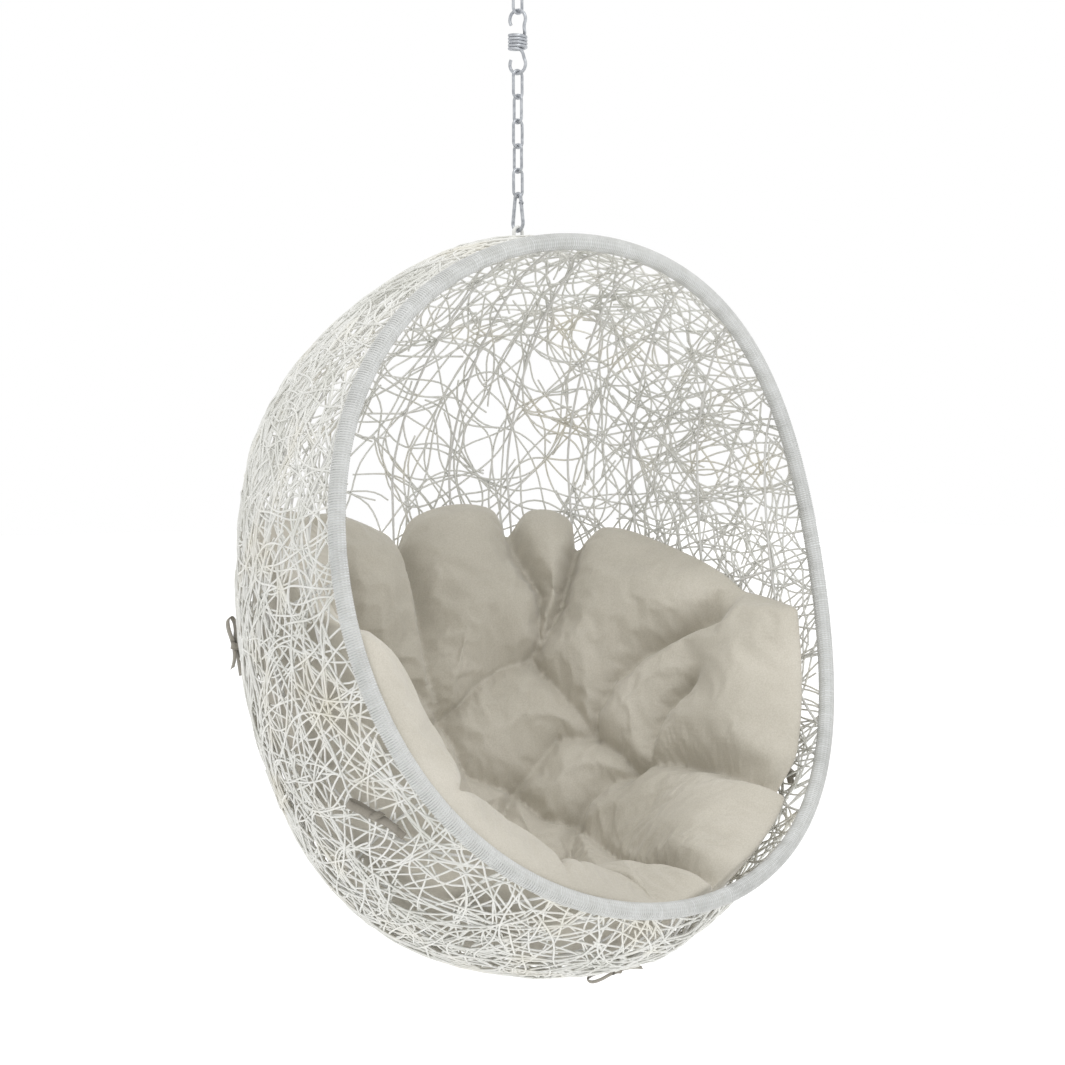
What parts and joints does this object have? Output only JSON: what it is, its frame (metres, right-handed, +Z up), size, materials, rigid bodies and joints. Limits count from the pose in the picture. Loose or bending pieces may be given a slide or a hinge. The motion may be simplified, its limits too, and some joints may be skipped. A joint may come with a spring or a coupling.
{
  "type": "hanging egg chair",
  "caption": "Egg-shaped woven basket chair with a tufted seat cushion, hung from its crown by a snap hook, a short link chain and an extension spring.",
  "frame": {"origin": "the inside top of the top link, where the hook that carries the chair touches it", "axes": "+Z up along the hanging line, -Y out of the seat opening, +X to the right seen from the front of the opening"},
  "size_m": [1.0582, 0.8677, 1.6569],
  "materials": {
    "chain_steel": "satin zinc-plated steel",
    "spring_steel": "satin zinc-plated spring steel",
    "hook_steel": "satin zinc-plated steel",
    "pin_steel": "satin steel",
    "coated_rod": "off-white powder coat",
    "strand": "off-white round plastic strand",
    "cushion_cloth": "greige woven cloth, soft filling",
    "ribbon": "darker greige cloth ribbon"
  },
  "bodies": {
    "top_link": {"top_link": "chain_steel"},
    "spring_top": {"spring_upper_hook": "spring_steel", "spring_coil": "spring_steel"},
    "spring_foot": {"spring_lower_hook": "spring_steel"},
    "link_1": {"chain_link_1": "chain_steel"},
    "link_2": {"chain_link_2": "chain_steel"},
    "link_3": {"chain_link_3": "chain_steel"},
    "link_4": {"chain_link_4": "chain_steel"},
    "link_5": {"chain_link_5": "chain_steel"},
    "snap_hook": {"snap_hook": "hook_steel"},
    "gate": {"snap_gate": "hook_steel", "gate_pin": "pin_steel", "gate_spring": "pin_steel"},
    "basket": {"hanging_eye": "coated_rod", "crown_plate": "coated_rod", "rim_bar": "coated_rod", "rim_wrap": "strand", "rib_left_1": "coated_rod", "rib_left_2": "coated_rod", "rib_left_3": "coated_rod", "rib_left_4": "coated_rod", "rib_left_5": "coated_rod", "rib_left_6": "coated_rod", "rib_left_7": "coated_rod", "rib_right_1": "coated_rod", "rib_right_2": "coated_rod", "rib_right_3": "coated_rod", "rib_right_4": "coated_rod", "rib_right_5": "coated_rod", "rib_right_6": "coated_rod", "rib_right_7": "coated_rod", "ring_rod_upper": "coated_rod", "ring_rod_lower": "coated_rod", "woven_shell": "strand", "cushion": "cushion_cloth", "tie_left_side": "ribbon", "tie_left_low": "ribbon", "tie_base": "ribbon", "tie_right_low": "ribbon", "tie_right_side": "ribbon"}
  },
  "joints": [
    {"name": "spring_swing", "type": "hinge", "parent": "top_link", "child": "spring_top", "pos_m": [0, 0, -0.0438], "axis": [1, 0, 0], "range_deg": [-20, 20]},
    {"name": "spring_stretch", "type": "slide", "parent": "spring_top", "child": "spring_foot", "axis": [0, 0, -1], "range_m": [-0.0026, 0.02], "stiffness_N_per_m": 70000, "springref_m": -0.00266, "deforming": ["spring_coil"]},
    {"name": "link_1_swing", "type": "hinge", "parent": "spring_foot", "child": "link_1", "pos_m": [0, 0, -0.14365], "axis": [0.2924, -0.9563, 0], "range_deg": [-12, 12]},
    {"name": "link_2_swing", "type": "hinge", "parent": "link_1", "child": "link_2", "pos_m": [0, 0, -0.1845], "axis": [1, 0, 0], "range_deg": [-12, 12]},
    {"name": "link_3_twist", "type": "hinge", "parent": "link_2", "child": "link_3", "pos_m": [0, 0, -0.2256], "axis": [0, 0, 1], "range_deg": [-25, 25]},
    {"name": "link_4_swing", "type": "hinge", "parent": "link_3", "child": "link_4", "pos_m": [0, 0, -0.2667], "axis": [1, 0, 0], "range_deg": [-12, 12]},
    {"name": "link_5_swing", "type": "hinge", "parent": "link_4", "child": "link_5", "pos_m": [0, 0, -0.3078], "axis": [0, 1, 0], "range_deg": [-12, 12]},
    {"name": "snap_hook_swing", "type": "hinge", "parent": "link_5", "child": "snap_hook", "pos_m": [0, 0, -0.3489], "axis": [1, 0, 0], "range_deg": [-15, 15]},
    {"name": "gate_turn", "type": "hinge", "parent": "snap_hook", "child": "gate", "pos_m": [0, -0.00834, -0.35911], "axis": [1, 0, 0], "range_deg": [0, 24], "stiffness_Nm_per_rad": 0.05, "springref_deg": -17.19},
    {"name": "basket_swing", "type": "hinge", "parent": "snap_hook", "child": "basket", "pos_m": [0, 0, -0.4056], "axis": [0, 1, 0], "range_deg": [-15, 15]}
  ]
}
